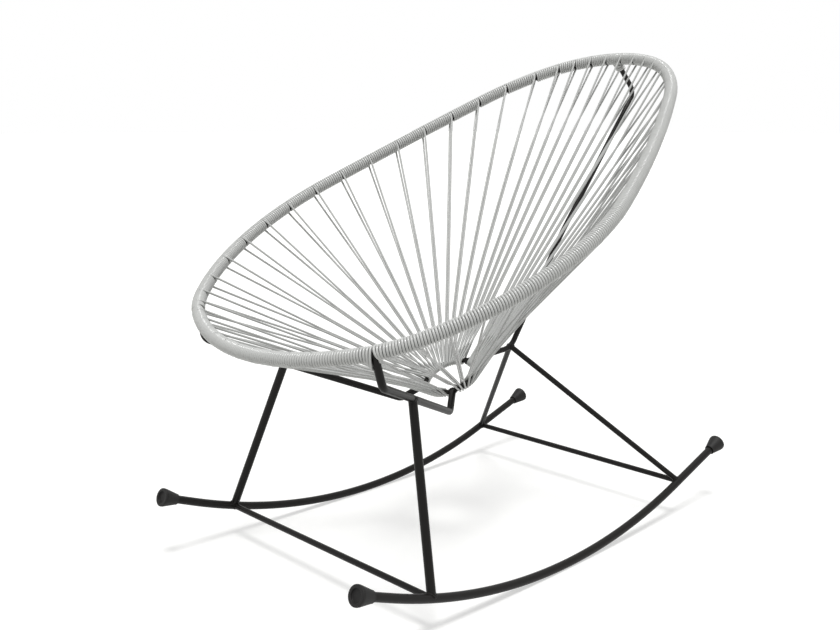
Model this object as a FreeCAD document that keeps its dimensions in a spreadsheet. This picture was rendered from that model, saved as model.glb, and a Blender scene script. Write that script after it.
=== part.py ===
import FreeCAD, Part
import math
import os
import Sketcher

# An acapulco rocking chair: a strung basket on two rockers, in millimetres.
# The chair faces -Y, +X is the sitter's left, +Z is up and the floor is Z = 0.

V = FreeCAD.Vector
doc = FreeCAD.newDocument("rocking_chair")
sizes = doc.addObject("Spreadsheet::Sheet", "sizes")

# Every driving size, with what it measures. Angles are in degrees.
DRIVING = {
    "contact_ahead": (28, "rocker contact ahead of the middle of the chair"),
    "weld_gap": (0.2, "gap left at a coped weld"),
    "cord_gap": (0.3, "gap between cord and steel"),
    "rocker_rod": (14, "rocker rod diameter"),
    "rocker_spacing": (500, "rockers, centre to centre"),
    "rocker_radius": (1046.4, "bend radius of a rocker"),
    "rocker_front_sweep": (21.8, "bent part ahead of the contact"),
    "rocker_rear_sweep": (18.4, "bent part behind the contact"),
    "rocker_front_run": (60, "straight front end of a rocker"),
    "rocker_rear_run": (147, "straight rear end of a rocker"),
    "front_foot": (314, "front leg from the contact, along the rocker"),
    "rear_foot": (348, "rear leg from the contact, along the rocker"),
    "bar_rod": (10, "cross bar diameter"),
    "front_leg_rod": (14, "front leg diameter"),
    "front_leg_bore": (11, "bore of the tube of a front leg"),
    "rear_leg_rod": (10, "rear leg diameter"),
    "tip_length": (30, "rubber tip length"),
    "tip_flare": (31, "rubber tip diameter at its outer end"),
    "tip_collar": (19, "rubber tip diameter at its mouth"),
    "tip_collar_length": (2, "straight part at the mouth of a tip"),
    "tip_lip": (4, "straight part at the outer end of a tip"),
    "tip_recess": (20, "diameter of the recess in a tip's end"),
    "tip_recess_depth": (3, "depth of the recess in a tip's end"),
    "tip_wall": (5, "rubber between the recess and the rod"),
    "tip_gap": (0.3, "gap between tip and rod"),
    "rim_rod": (14, "rim rod diameter"),
    "rim_height": (612, "rim plane height above the contact"),
    "rim_slope": (26.3, "slope of the rim plane"),
    "rim_lift": (2.1, "extra slope of the head end"),
    "rim_reach": (492, "middle of the lip from the contact, along the slope"),
    "lip_radius": (412, "bend radius of the lip"),
    "lip_sweep": (30.9, "half of the lip bend"),
    "corner_radius": (201, "bend radius beside the lip"),
    "corner_sweep": (20, "bend beside the lip"),
    "side_radius": (426, "bend radius of the side"),
    "side_sweep": (54.5, "bend of the side"),
    "flank_length": (369, "chord of the flat flank"),
    "flank_sweep": (9, "bend of the flank"),
    "shoulder_radius": (359, "bend radius of the shoulder"),
    "shoulder_sweep": (19.3, "bend of the shoulder"),
    "ring_rod": (8, "bottom ring rod diameter"),
    "ring_radius": (46, "bottom ring radius"),
    "ring_ahead": (15, "ring middle ahead of the contact"),
    "ring_height": (284, "ring middle height"),
    "ring_tilt": (27, "slope of the ring"),
    "stay_rod": (12, "front stay diameter"),
    "stay_place": (228, "stay from the middle of the lip, along the rim"),
    "elbow_aside": (3.4, "stay elbow outside the stay's top"),
    "elbow_behind": (11.9, "stay elbow behind the stay's top"),
    "elbow_drop": (50, "stay elbow below the stay's top"),
    "elbow_bend": (17, "bend radius of the elbow"),
    "knee_spread": (60, "stay knee from the middle plane"),
    "knee_ahead": (78, "stay knee ahead of the contact"),
    "knee_height": (244.5, "stay knee height"),
    "knee_bend": (15, "bend radius of the knee"),
    "leg_seat": (140.5, "front leg from the elbow, along the stay"),
    "spine_rod": (10, "back spine diameter"),
    "nape_behind": (68.5, "upper spine bend behind the rim top"),
    "nape_drop": (62.6, "upper spine bend below the rim top"),
    "nape_bend": (20, "upper spine bend radius"),
    "waist_behind": (287, "spine waist behind the contact"),
    "waist_height": (510, "spine waist height"),
    "waist_bend": (600, "spine waist bend radius"),
    "seat_behind": (145.8, "lower spine bend behind the contact"),
    "seat_height": (311.2, "lower spine bend height"),
    "seat_bend": (35, "lower spine bend radius"),
    "winding_cord": (4.3, "diameter of the wound cord"),
    "strand": (3.7, "diameter of the stretched cord"),
    "head_reach": (140, "closely strung head, from the rim top along the rim"),
    "lashing_gap": (0.5, "gap between the turns of a lashing"),
}
for row, (alias, (value, meaning)) in enumerate(DRIVING.items(), start=1):
    sizes.set(f"A{row}", meaning)
    sizes.set(f"B{row}", str(value))
    sizes.setAlias(f"B{row}", alias)
doc.recompute()

# Counts of the stringing, for one half of the chair.
CORDS_BEFORE_STAY = 6
CORDS_PAST_STAY = 2
SIDE_CORDS = 14
HEAD_CORDS = 4
CORDS_BEFORE_RISER = 6
RISER_SLOTS = 4
SPINE_SLOTS = 3
FANS = ["front", "corner", "side", "flank", "shoulder", "head"]
LASHING_TURNS = 3

# Flat sides of the drawn rods and cords.
ROD_SIDES = 12
RIM_SIDES = 6
RING_SIDES = 8
WINDING_SIDES = 10
BORE_SIDES = 4
CORD_SIDES = 6
LASHING_SIDES = 4
LASHING_STEPS = 12


def size(alias):
    return float(sizes.get(alias))


def spot(across, behind, height):
    """A point measured from the rocker contact under the middle of the chair."""
    return V(across, behind - size("contact_ahead"), height)


def heading(angle, slope):
    """A direction in a plane that rises to the rear, turned from straight across."""
    turned = math.radians(angle)
    rise = math.radians(slope)
    return V(math.cos(turned), math.sin(turned) * math.cos(rise), math.sin(turned) * math.sin(rise))


def bend(start, angle, slope, radius, sweep):
    """An arc in a sloping plane, that starts along a heading and turns to the rear."""
    centre = start + heading(angle + 90, slope) * radius
    middle = centre - heading(angle + 90 + sweep / 2, slope) * radius
    end = centre - heading(angle + 90 + sweep, slope) * radius
    return Part.Arc(start, middle, end).toShape()


def arc_from(start, along, end):
    """An arc that leaves the start in a direction and passes through the end."""
    chord = end - start
    level = chord * (1 / chord.Length)
    aside = along - level * along.dot(level)
    if aside.Length < 1e-6:
        return Part.makeLine(start, end)
    bow = math.tan(along.getAngle(level) / 2) * chord.Length / 2
    middle = start + chord * 0.5 + aside * (bow / aside.Length)
    return Part.Arc(start, middle, end).toShape()


def two_arcs(start, along, end, arriving):
    """Two tangent arcs between two points with given directions."""
    chord = end - start
    both = along + arriving
    spread = 2 * (1 - along.dot(arriving))
    lean = chord.dot(both)
    if spread < 1e-9:
        reach = chord.dot(chord) / (4 * chord.dot(along))
    else:
        reach = (math.sqrt(lean * lean + spread * chord.dot(chord)) - lean) / spread
    meet = (start + end + (along - arriving) * reach) * 0.5
    first = arc_from(start, along, meet)
    second = arc_from(meet, first.tangentAt(first.LastParameter), end)
    return [first, second]


def bent(corners, radii):
    """Straight runs through the corners, with a tangent arc of each radius."""
    edges = []
    start = corners[0]
    for before, corner, after, radius in zip(corners, corners[1:], corners[2:], radii):
        back = (before - corner).normalize()
        onward = (after - corner).normalize()
        half = back.getAngle(onward) / 2
        reach = radius / math.tan(half)
        middle = corner + (back + onward).normalize() * (radius / math.sin(half) - radius)
        edges.append(Part.makeLine(start, corner + back * reach))
        edges.append(Part.Arc(corner + back * reach, middle, corner + onward * reach).toShape())
        start = corner + onward * reach
    edges.append(Part.makeLine(start, corners[-1]))
    return edges


def place_along(edges, distance):
    """Point and direction at a distance along a run of edges."""
    for edge in edges[:-1]:
        if distance <= edge.Length:
            break
        distance -= edge.Length
    else:
        edge = edges[-1]
    turn = edge.getParameterByLength(min(distance, edge.Length))
    return edge.valueAt(turn), edge.tangentAt(turn)


def edge_through(first, middle, last):
    if (middle - first).cross(last - first).Length < 1e-4 * (last - first).Length:
        return Part.makeLine(first, last)
    return Part.Arc(first, middle, last).toShape()


def stretch_of(edges, first, last):
    """The part of a run of edges between two distances along it."""
    pieces = []
    passed = 0
    for edge in edges:
        start = max(first - passed, 0)
        stop = min(last - passed, edge.Length)
        if stop - start > 0.01:
            points = []
            for share in (0, 0.5, 1):
                turn = edge.getParameterByLength(start + share * (stop - start))
                points.append(edge.valueAt(turn))
            pieces.append(edge_through(*points))
        passed += edge.Length
    return pieces


def start_of(edge):
    """Start point and direction of an edge."""
    return edge.valueAt(edge.FirstParameter), edge.tangentAt(edge.FirstParameter)


def section_at(name, point, along, flat, sides, radius):
    """A regular polygon across a rod, with a corner toward a given direction."""
    section = doc.addObject("Part::RegularPolygon", name)
    section.Polygon = sides
    section.setExpression("Circumradius", radius)
    section.Placement = FreeCAD.Placement(point, FreeCAD.Rotation(flat, V(), along, "ZXY"))
    return section


def faceted_rod(name, edges, flat, sides, radius):
    """A rod of straight prisms and turned bends, joined into one solid."""
    pieces = []
    for number, edge in enumerate(edges, start=1):
        start, along = start_of(edge)
        if edge.Curve.TypeId == "Part::GeomLine":
            piece = doc.addObject("Part::Prism", f"{name}_run_{number}")
            piece.Polygon = sides
            piece.setExpression("Circumradius", radius)
            piece.Height = edge.Length
            piece.Placement = FreeCAD.Placement(start, FreeCAD.Rotation(flat, V(), along, "ZXY"))
        else:
            out = start - edge.Curve.Center
            axis = out.cross(along).normalize()
            angle = math.degrees(edge.Length / edge.Curve.Radius)
            piece = doc.addObject("Part::Revolution", f"{name}_bend_{number}")
            piece.Source = section_at(f"{name}_section_{number}", start, along, flat, sides, radius)
            piece.Base = edge.Curve.Center
            piece.Axis = axis
            piece.Angle = angle
            piece.Solid = True
            flat = FreeCAD.Rotation(axis, angle).multVec(flat)
        pieces.append(piece)
    if len(pieces) == 1:
        return pieces[0]
    rod = doc.addObject("Part::MultiFuse", name)
    rod.Shapes = pieces
    return rod


def stations(edges):
    """Points and directions at the ends of straight runs and round the bends."""
    places = []
    for edge in edges:
        straight = edge.Curve.TypeId == "Part::GeomLine"
        for share in (0, 1) if straight else (0.25, 0.5, 0.75):
            places.append(place_along([edge], share * edge.Length))
    return places


def lofted_cord(name, places, flat, sides, radius):
    """A cord ruled between sections across its path."""
    sections = []
    for number, (point, along) in enumerate(places, start=1):
        sections.append(section_at(f"{name}_section_{number}", point, along, flat, sides, radius))
    solid = doc.addObject("Part::Loft", name)
    solid.Sections = sections
    solid.Solid = True
    solid.Ruled = True
    return solid


def straight_rod(name, start, end, radius):
    along = end - start
    flat = along.cross(V(1, 0, 0)) if abs(along.x) < along.Length / 2 else along.cross(V(0, 0, 1))
    return faceted_rod(name, [Part.makeLine(start, end)], flat, ROD_SIDES, radius)


def opposite(name, shape):
    """The same piece on the other side of the middle plane."""
    copy = doc.addObject("Part::Mirroring", name)
    copy.Source = shape
    copy.Normal = V(1, 0, 0)
    return copy


def joined(name, first, second):
    fused = doc.addObject("Part::MultiFuse", name)
    fused.Shapes = [first, second]
    return fused


def coped(name, rod, tools):
    """A rod with its ends cut to fit the rods it is welded to."""
    for number, tool in enumerate(tools, start=1):
        cut = doc.addObject("Part::Cut", name if number == len(tools) else f"{name}_cut_{number}")
        cut.Base = rod
        cut.Tool = tool
        rod = cut
    return rod


nodes = []


def node(label, shape):
    shape.Label = label
    nodes.append(shape)


def pair(name, shape):
    """A piece on the left and its mirror image on the right."""
    node("left_" + name, shape)
    node("right_" + name, opposite("right_" + name, shape))


# Rockers: a long bend with straight ends, lying on the floor.
half_spacing = size("rocker_spacing") / 2
contact_height = size("rocker_rod") / 2
front_angle = math.radians(size("rocker_front_sweep"))
rear_angle = math.radians(size("rocker_rear_sweep"))


def rocker_point(distance, across):
    """A point on a rocker, at a distance behind the contact along the rod."""
    radius = size("rocker_radius")
    bent_part = min(max(distance, -front_angle * radius), rear_angle * radius)
    turn = bent_part / radius
    straight = distance - bent_part
    behind = radius * math.sin(turn) + straight * math.cos(turn)
    return spot(across, behind, contact_height + radius * (1 - math.cos(turn)) + straight * math.sin(turn))


front_end = -front_angle * size("rocker_radius") - size("rocker_front_run")
rear_end = rear_angle * size("rocker_radius") + size("rocker_rear_run")
bend_start = -front_angle * size("rocker_radius")
bend_stop = rear_angle * size("rocker_radius")
rocker_run = [
    Part.makeLine(rocker_point(front_end, half_spacing), rocker_point(bend_start, half_spacing)),
    Part.Arc(
        rocker_point(bend_start, half_spacing),
        rocker_point(0, half_spacing),
        rocker_point(bend_stop, half_spacing),
    ).toShape(),
    Part.makeLine(rocker_point(bend_stop, half_spacing), rocker_point(rear_end, half_spacing)),
]
across = V(1, 0, 0)
pair("rocker", faceted_rod("left_rocker", rocker_run, across, ROD_SIDES, "sizes.rocker_rod / 2"))
rocker_tool = faceted_rod(
    "rocker_tool", rocker_run, across, ROD_SIDES, "sizes.rocker_rod / 2 + sizes.weld_gap"
)
other_rocker_tool = opposite("other_rocker_tool", rocker_tool)


# Rubber tips: a flared cap turned about the rocker's end.
def rubber_tip(label, mouth, outward):
    body = doc.addObject("PartDesign::Body", label)
    sketch = body.newObject("Sketcher::SketchObject", label + "_profile")
    sketch.AttachmentSupport = (body.Origin.OriginFeatures[4], [""])
    sketch.MapMode = "FlatFace"
    bore = "sizes.rocker_rod / 2 + sizes.tip_gap"
    floor = "sizes.tip_length - sizes.tip_recess_depth - sizes.tip_wall"
    corners = [
        (bore, None),
        ("sizes.tip_collar / 2", None),
        ("sizes.tip_collar / 2", "sizes.tip_collar_length"),
        ("sizes.tip_flare / 2", "sizes.tip_length - sizes.tip_lip"),
        ("sizes.tip_flare / 2", "sizes.tip_length"),
        ("sizes.tip_recess / 2", "sizes.tip_length"),
        ("sizes.tip_recess / 2", "sizes.tip_length - sizes.tip_recess_depth"),
        (None, "sizes.tip_length - sizes.tip_recess_depth"),
        (None, floor),
        (bore, floor),
    ]
    drawn = [
        (7, 0), (10, 0), (10, 9), (15, 25), (15, 30), (10, 30), (10, 27), (0, 27), (0, 22), (7, 22)
    ]
    for number, start in enumerate(drawn):
        end = drawn[(number + 1) % len(drawn)]
        sketch.addGeometry(Part.LineSegment(V(*start, 0), V(*end, 0)), False)
    for number in range(len(drawn)):
        following = (number + 1) % len(drawn)
        sketch.addConstraint(Sketcher.Constraint("Coincident", number, 2, following, 1))
    for number, (out, along) in enumerate(corners):
        for kind, axis, rule, value in (
            ("DistanceX", -2, out, drawn[number][0]),
            ("DistanceY", -1, along, drawn[number][1]),
        ):
            if rule is None:
                sketch.addConstraint(Sketcher.Constraint("PointOnObject", number, 1, axis))
            else:
                place = sketch.addConstraint(
                    Sketcher.Constraint(kind, -1, 1, number, 1, value)
                )
                sketch.setExpression(f"Constraints[{place}]", rule)
    turned = body.newObject("PartDesign::Revolution", label + "_turned")
    turned.Profile = sketch
    turned.ReferenceAxis = (sketch, ["V_Axis"])
    turned.Angle = 360
    body.Placement = FreeCAD.Placement(mouth, FreeCAD.Rotation(V(0, 0, 1), outward))
    return body


tip_depth = size("tip_length") - size("tip_recess_depth") - size("tip_wall")
tips = []
for side, offset in (("left", half_spacing), ("right", -half_spacing)):
    for end_name, end in (("front", front_end), ("rear", rear_end)):
        mouth = rocker_point(end - math.copysign(tip_depth, end), offset)
        tips.append(rubber_tip(f"{side}_{end_name}_tip", mouth, rocker_point(end, offset) - mouth))
all_tips = doc.addObject("Part::Compound", "rocker_tips")
all_tips.Links = tips
node("rocker_tips", all_tips)


# Rim: half of the hoop from the middle of the lip to the top, in tangent arcs.
slope = size("rim_slope")
head_slope = slope + size("rim_lift")
lip_middle = spot(0, 0, size("rim_height")) + heading(90, slope) * -size("rim_reach")
half_rim = []
turned = 0
point = lip_middle
for part in ("lip", "corner", "side"):
    half_rim.append(bend(point, turned, slope, size(part + "_radius"), size(part + "_sweep")))
    turned += size(part + "_sweep")
    point = half_rim[-1].valueAt(half_rim[-1].LastParameter)
flank_heading = heading(turned + size("flank_sweep") / 2, (slope + head_slope) / 2)
flank_end = point + flank_heading * size("flank_length")
flank_leaving = heading(turned + size("flank_sweep"), head_slope)
half_rim += two_arcs(point, heading(turned, slope), flank_end, flank_leaving)
turned += size("flank_sweep")
half_rim.append(
    bend(flank_end, turned, head_slope, size("shoulder_radius"), size("shoulder_sweep"))
)
turned += size("shoulder_sweep")
point = half_rim[-1].valueAt(half_rim[-1].LastParameter)
head_radius = point.x / math.sin(math.radians(180 - turned))
half_rim.append(bend(point, turned, head_slope, head_radius, 180 - turned))
half_length = sum(edge.Length for edge in half_rim)
rim_top = half_rim[-1].valueAt(half_rim[-1].LastParameter)

rim_normal = heading(0, slope).cross(heading(90, slope))
half_rod = faceted_rod("half_rim_rod", half_rim, rim_normal, RIM_SIDES, "sizes.rim_rod / 2")
node("rim_rod", joined("rim_rod", half_rod, opposite("other_half_rim_rod", half_rod)))
rim_tool = faceted_rod(
    "rim_tool", half_rim, rim_normal, RIM_SIDES, "sizes.rim_rod / 2 + sizes.weld_gap"
)

# Bottom ring.
ring_middle = spot(0, -size("ring_ahead"), size("ring_height"))
ring_turn = FreeCAD.Rotation(V(1, 0, 0), size("ring_tilt"))
ring_axis = ring_turn.multVec(V(0, 0, 1))
ring_front = ring_middle + ring_turn.multVec(V(0, -size("ring_radius"), 0))
ring_tools = []
for name, radius in (
    ("bottom_ring", "sizes.ring_rod / 2"),
    ("ring_tool", "sizes.ring_rod / 2 + sizes.weld_gap"),
):
    ring = doc.addObject("Part::Revolution", name)
    ring.Source = section_at(name + "_section", ring_front, across, ring_axis, RING_SIDES, radius)
    ring.Base = ring_middle
    ring.Axis = ring_axis
    ring.Angle = 360
    ring.Solid = True
    ring_tools.append(ring)
bottom_ring, ring_tool = ring_tools
node("bottom_ring", bottom_ring)

half_cords = CORDS_BEFORE_STAY + CORDS_PAST_STAY + SIDE_CORDS + HEAD_CORDS
ring_step = math.pi / (half_cords + RISER_SLOTS + SPINE_SLOTS / 2)


def ring_point(angle):
    """A point on the ring, at an angle from its front toward the sitter's left."""
    flat = V(math.sin(angle), -math.cos(angle), 0) * size("ring_radius")
    return ring_middle + ring_turn.multVec(flat)


# Front stays: down from the lip, back under the seat and up to the ring.
riser_angle = ring_step * (CORDS_BEFORE_RISER + RISER_SLOTS / 2)
stay_top, lip_direction = place_along(half_rim, size("stay_place"))
elbow = stay_top + V(size("elbow_aside"), size("elbow_behind"), -size("elbow_drop"))
knee = spot(size("knee_spread"), -size("knee_ahead"), size("knee_height"))
stay_run = bent(
    [stay_top, elbow, knee, ring_point(riser_angle)], [size("elbow_bend"), size("knee_bend")]
)
level = (knee - elbow).cross(V(0, 0, 1)).normalize()
stay_flat = (elbow - stay_top).cross(level).normalize()
stay_rod = faceted_rod("left_stay_rod", stay_run, stay_flat, ROD_SIDES, "sizes.stay_rod / 2")
pair("front_stay", coped("left_front_stay", stay_rod, [rim_tool, ring_tool]))
stay_tool = faceted_rod(
    "stay_tool", stay_run, stay_flat, ROD_SIDES, "sizes.stay_rod / 2 + sizes.weld_gap"
)

# Back spine: behind the strands from the rim top to the back of the ring.
nape = rim_top + V(0, size("nape_behind"), -size("nape_drop"))
spine_run = bent(
    [
        rim_top,
        nape,
        spot(0, size("waist_behind"), size("waist_height")),
        spot(0, size("seat_behind"), size("seat_height")),
        ring_point(math.pi),
    ],
    [size("nape_bend"), size("waist_bend"), size("seat_bend")],
)
spine_rod = faceted_rod("whole_spine", spine_run, across, ROD_SIDES, "sizes.spine_rod / 2")
both_rims = joined("both_rim_tools", rim_tool, opposite("other_rim_tool", rim_tool))
node("back_spine", coped("back_spine", spine_rod, [both_rims, ring_tool]))
spine_tool = faceted_rod(
    "spine_tool", spine_run, across, ROD_SIDES, "sizes.spine_rod / 2 + sizes.weld_gap"
)
seat_bend = spine_run[5]
spine_seat = seat_bend.valueAt(seat_bend.getParameterByLength(seat_bend.Length / 2))

# Legs: the front ones stand under the stays, the rear ones meet at the spine.
leg_top = elbow + (knee - elbow).normalize() * size("leg_seat")
foot = rocker_point(-size("front_foot"), half_spacing)
leg_rod = straight_rod("left_front_leg_rod", foot, leg_top, "sizes.front_leg_rod / 2")
leg_bore = straight_rod("left_front_leg_bore", foot, leg_top, "sizes.front_leg_bore / 2")
pair("front_leg", coped("left_front_leg", leg_rod, [leg_bore, stay_tool, rocker_tool]))
front_leg_tool = straight_rod(
    "front_leg_tool", foot, leg_top, "sizes.front_leg_rod / 2 + sizes.weld_gap"
)

foot = rocker_point(size("rear_foot"), half_spacing)
leg_rod = straight_rod("left_rear_leg_rod", foot, spine_seat, "sizes.rear_leg_rod / 2")
other_side = doc.addObject("Part::Box", "rear_leg_mitre")
for extent in ("Length", "Width", "Height"):
    other_side.setExpression(extent, "sizes.rear_leg_rod * 6")
reach = size("rear_leg_rod") * 3
other_side.Placement.Base = spine_seat + V(size("weld_gap") / 2 - 2 * reach, -reach, -reach)
pair("rear_leg", coped("left_rear_leg", leg_rod, [rocker_tool, spine_tool, other_side]))
rear_leg_tool = straight_rod(
    "rear_leg_tool", foot, spine_seat, "sizes.rear_leg_rod / 2 + sizes.weld_gap"
)

# Cross bars between the rockers, at the feet of the legs.
for end_name, distance, leg_tool in (
    ("front", -size("front_foot"), front_leg_tool),
    ("rear", size("rear_foot"), rear_leg_tool),
):
    bar = straight_rod(
        f"{end_name}_bar_rod",
        rocker_point(distance, -half_spacing),
        rocker_point(distance, half_spacing),
        "sizes.bar_rod / 2",
    )
    other_leg_tool = opposite(f"other_{end_name}_leg_tool", leg_tool)
    tools = [rocker_tool, other_rocker_tool, leg_tool, other_leg_tool]
    node(f"{end_name}_cross_bar", coped(f"{end_name}_cross_bar", bar, tools))

# Rim winding: sleeves with the outline of the wound cord, open at the welds.
wound_radius = size("rim_rod") / 2 + size("cord_gap") + size("winding_cord")
stay_room = size("stay_rod") / 2 + size("cord_gap")
spine_room = size("spine_rod") / 2 + size("cord_gap")
past_stay = size("stay_place") + stay_room


def sleeve(name, first, last):
    """The winding between two places along the rim, on the left."""
    run = stretch_of(half_rim, first, last)
    flat = rim_normal - start_of(run[0])[1] * rim_normal.dot(start_of(run[0])[1])
    wound = "sizes.rim_rod / 2 + sizes.cord_gap + sizes.winding_cord"
    bore = f"(sizes.rim_rod / 2 + sizes.cord_gap) / cos({180 / BORE_SIDES} deg)"
    hollow = doc.addObject("Part::Cut", name)
    hollow.Base = faceted_rod(name + "_outside", run, flat, WINDING_SIDES, wound)
    hollow.Tool = faceted_rod(name + "_bore", run, flat, BORE_SIDES, bore)
    return hollow


lip_sleeve = sleeve("half_front_winding", 0, size("stay_place") - stay_room)
other_lip_sleeve = opposite("other_half_front_winding", lip_sleeve)
node("front_winding", joined("front_winding", lip_sleeve, other_lip_sleeve))
pair("winding", sleeve("left_winding", past_stay, half_length - spine_room))

# Strands: each leaves the top of the rim, turns round the ring and comes back below.
lip_step = size("stay_place") / CORDS_BEFORE_STAY
lip_cords = CORDS_BEFORE_STAY + CORDS_PAST_STAY
side_start = lip_step * lip_cords
side_step = (half_length - size("head_reach") - side_start) / SIDE_CORDS
head_step = size("head_reach") / HEAD_CORDS
rim_places = [lip_step * (number + 0.5) for number in range(lip_cords)]
rim_places += [side_start + side_step * (number + 0.5) for number in range(SIDE_CORDS)]
rim_places += [half_length - head_step * (HEAD_CORDS - number - 0.5) for number in range(HEAD_CORDS)]
strand_radius = size("strand") / 2
rim_offset = size("rim_rod") / 2 + size("cord_gap") + size("winding_cord") / 2
ring_offset = size("ring_rod") / 2 + size("cord_gap") / 2 + strand_radius


def hairpin(number):
    """The path of a strand: down to the ring, round its inner side and back."""
    on_rim, rim_along = place_along(half_rim, rim_places[number])
    slot = number + 0.5 + (RISER_SLOTS if number >= CORDS_BEFORE_RISER else 0)
    on_ring = ring_point(ring_step * slot)
    down = (on_ring - on_rim).normalize()
    up = rim_along.cross(down).normalize()
    if up.z < 0:
        up = up * -1
    lean = math.asin((rim_offset - ring_offset) / (on_ring - on_rim).Length)
    slant = abs(rim_along.dot(down))
    wall = math.sqrt(wound_radius**2 - (rim_offset - strand_radius) ** 2)
    clear = (wall + strand_radius * slant) / math.sqrt(1 - slant**2) + size("cord_gap")
    ends = []
    for way in (1, -1):
        square = up * (way * math.cos(lean)) + down * math.sin(lean)
        near_rim = on_rim + square * rim_offset
        near_ring = on_ring + square * ring_offset
        along = (near_ring - near_rim).normalize()
        ends.append((near_rim + along * clear, near_ring))
    return [
        Part.makeLine(ends[0][0], ends[0][1]),
        Part.Arc(ends[0][1], on_ring + down * ring_offset, ends[1][1]).toShape(),
        Part.makeLine(ends[1][1], ends[1][0]),
    ]


strung = 0
fan_length = (half_length - past_stay) / (len(FANS) - 1)
fan_strands = {name: [] for name in FANS}
for number, place in enumerate(rim_places):
    run = hairpin(number)
    strung += 2 * sum(edge.Length for edge in run)
    turn_start, turn_along = start_of(run[1])
    flat = (turn_start - run[1].Curve.Center).cross(turn_along).normalize()
    strand = lofted_cord(f"strand_{number + 1}", stations(run), flat, CORD_SIDES, "sizes.strand / 2")
    fan = 0 if place < past_stay else 1 + int((place - past_stay) / fan_length)
    fan_strands[FANS[fan]].append(strand)
for name, strands in fan_strands.items():
    fan = doc.addObject("Part::Compound", f"left_{name}_strands")
    fan.Links = strands
    pair(f"{name}_strands", fan)


# Lashing: a few turns of cord round the top of the spine, just below the rim.
spine_axis = (nape - rim_top).normalize()
spine_aside = spine_axis.cross(V(0, 0, 1)).normalize()
spine_other = spine_axis.cross(spine_aside)
coil_radius = size("spine_rod") / 2 + size("cord_gap") + size("winding_cord") / 2
coil_pitch = size("winding_cord") + size("lashing_gap")
coil_base = rim_top + spine_axis * (wound_radius + size("cord_gap") + size("winding_cord") / 2)
coil = []
for number in range(LASHING_STEPS * LASHING_TURNS + 1):
    turn = number / LASHING_STEPS
    angle = 2 * math.pi * turn
    out = spine_aside * math.cos(angle) + spine_other * math.sin(angle)
    round_about = spine_other * math.cos(angle) - spine_aside * math.sin(angle)
    forward = (round_about * (2 * math.pi * coil_radius) + spine_axis * coil_pitch).normalize()
    coil.append((coil_base + out * coil_radius + spine_axis * (coil_pitch * turn), forward))
for end, way in ((0, -1), (-1, 1)):
    point, forward = coil[end]
    tail = (point + forward * (way * size("winding_cord")), forward)
    coil.insert(len(coil) if way > 0 else 0, tail)
lashing = lofted_cord("spine_lashing", coil, spine_axis, LASHING_SIDES, "sizes.winding_cord / 2")
node("spine_lashing", lashing)

# The gap between the lashing's turns, on points at least half a turn apart.
coil_points = [point for point, forward in coil]
turn_gap = min(
    (first - second).Length - size("winding_cord")
    for number, first in enumerate(coil_points)
    for second in coil_points[number + LASHING_STEPS // 2 :]
)

doc.recompute()
for item in doc.Objects:
    if "Invalid" in item.State or "Error" in item.State:
        raise RuntimeError(f"{item.Label} did not build")
    if hasattr(item, "Shape") and item in nodes:
        if item.Shape.isNull() or not item.Shape.isValid():
            raise RuntimeError(f"{item.Label} has no valid shape")

os.makedirs("parts", exist_ok=True)
whole = FreeCAD.BoundBox()
for item in nodes:
    item.Shape.exportStep(f"parts/{item.Label}.step")
    whole.add(item.Shape.BoundBox)
print(f"{len(nodes)} parts, {whole.XLength:.1f} x {whole.YLength:.1f} x {whole.ZLength:.1f}")
print(f"middle {whole.Center.x:.2f} {whole.Center.y:.2f}, floor {whole.ZMin:.2f}")
print(f"half rim {half_length:.1f}, strands {strung:.0f}, head radius {head_radius:.1f}")
print(f"least gap between the turns of the lashing {turn_gap:.2f}")
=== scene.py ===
# %% [markdown]
# # An acapulco rocking chair
# A hoop of steel rod is wound with PVC cord from end to end. At 52 places the cord leaves the
# hoop, runs down to a small ring under the seat, turns round it and comes back, so that the
# runs together make the basket. A bent frame with two rockers carries the hoop and the ring.
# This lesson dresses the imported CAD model: round rods with welds, real cord, moulded rubber.

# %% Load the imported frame
import math

import bpy
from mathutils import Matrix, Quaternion, Vector


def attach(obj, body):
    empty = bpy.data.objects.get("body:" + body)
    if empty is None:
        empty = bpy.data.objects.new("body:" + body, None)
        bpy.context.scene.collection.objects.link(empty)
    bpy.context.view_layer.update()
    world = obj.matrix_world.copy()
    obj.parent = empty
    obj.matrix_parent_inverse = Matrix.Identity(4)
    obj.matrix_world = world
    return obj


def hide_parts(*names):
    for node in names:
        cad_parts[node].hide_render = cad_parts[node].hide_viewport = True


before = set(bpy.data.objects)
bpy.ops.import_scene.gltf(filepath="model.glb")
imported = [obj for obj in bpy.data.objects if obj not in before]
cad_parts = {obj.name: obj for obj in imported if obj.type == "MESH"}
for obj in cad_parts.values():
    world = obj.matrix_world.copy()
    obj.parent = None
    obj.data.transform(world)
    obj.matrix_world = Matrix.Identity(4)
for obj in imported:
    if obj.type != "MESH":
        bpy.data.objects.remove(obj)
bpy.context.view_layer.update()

# %% [markdown]
# ## The camera
# The view comes first, because everything after it is judged through it. The place and the
# lens were worked out from the ends of the rockers, the ring and the hoop in the photograph:
# the camera stands at the height of the sitter's shoulder and looks down by 11 degrees.


# %% Place the camera
def placed(name, data):
    """A new object in the scene, at the origin."""
    thing = bpy.data.objects.new(name, data)
    bpy.context.scene.collection.objects.link(thing)
    return thing


PICTURE_WIDTH = 840
LOOKING_DOWN, LOOKING_ASIDE = 10.8455, 45.832
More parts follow.
